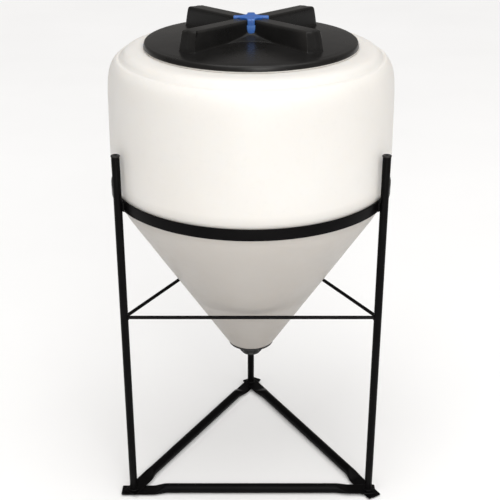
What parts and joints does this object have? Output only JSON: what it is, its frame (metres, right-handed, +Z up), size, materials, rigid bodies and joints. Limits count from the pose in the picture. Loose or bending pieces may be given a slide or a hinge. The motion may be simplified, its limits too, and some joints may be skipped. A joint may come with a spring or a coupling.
{
  "type": "conical fermenter",
  "caption": "Cone-bottom plastic fermenting tank with a screw lid, a gas vent and a bottom outlet, standing in a three-leg welded steel stand.",
  "frame": {"origin": "on the tank's axis at floor level, under the outlet", "axes": "+Z up along the tank's axis; +Y from the front floor bar towards the single rear leg; +X to the right seen from the front"},
  "size_m": [0.4846, 0.5198, 0.8602],
  "materials": {
    "natural_polyethylene": "translucent milky white, soft sheen",
    "black_plastic": "satin moulded black",
    "blue_plastic": "satin moulded blue",
    "black_steel": "satin black powder coat",
    "rubber": "matte",
    "clear_silicone": "soft translucent",
    "spring_steel": "bright wire"
  },
  "bodies": {
    "stand": {"hoop_band": "black_steel", "leg_left": "black_steel", "leg_right": "black_steel", "leg_rear": "black_steel", "leg_plugs": "black_plastic", "tie_rod_front": "black_steel", "tie_rod_left": "black_steel", "tie_rod_right": "black_steel", "base_bar_front": "black_steel", "base_bar_left": "black_steel", "base_bar_right": "black_steel"},
    "tank": {"tank_shell": "natural_polyethylene", "outlet_body": "black_plastic", "outlet_gasket": "rubber", "outlet_washer": "rubber", "outlet_nut": "black_plastic"},
    "lid_ring": {"lid_gasket": "clear_silicone"},
    "lid": {"lid": "black_plastic", "vent_cap": "blue_plastic", "vent_body": "black_plastic", "vent_gasket": "rubber", "vent_retainer": "black_plastic", "vent_spring": "spring_steel"},
    "poppet": {"vent_poppet": "black_plastic"}
  },
  "joints": [
    {"name": "tank_lift", "type": "slide", "parent": "stand", "child": "tank", "axis": [0, 0, 1], "range_m": [0, 0.36]},
    {"name": "lid_lift", "type": "slide", "parent": "tank", "child": "lid_ring", "axis": [0, 0, 1], "range_m": [0, 0.25]},
    {"name": "lid_turn", "type": "hinge", "parent": "lid_ring", "child": "lid", "pos_m": [0, 0, 0.811], "axis": [0, 0, 1], "range_deg": [0, 450]},
    {"name": "vent_lift", "type": "slide", "parent": "lid", "child": "poppet", "axis": [0, 0, 1], "range_m": [0, 0.003], "stiffness_N_per_m": 40, "springref_m": -0.002, "deforming": ["vent_spring"]}
  ]
}
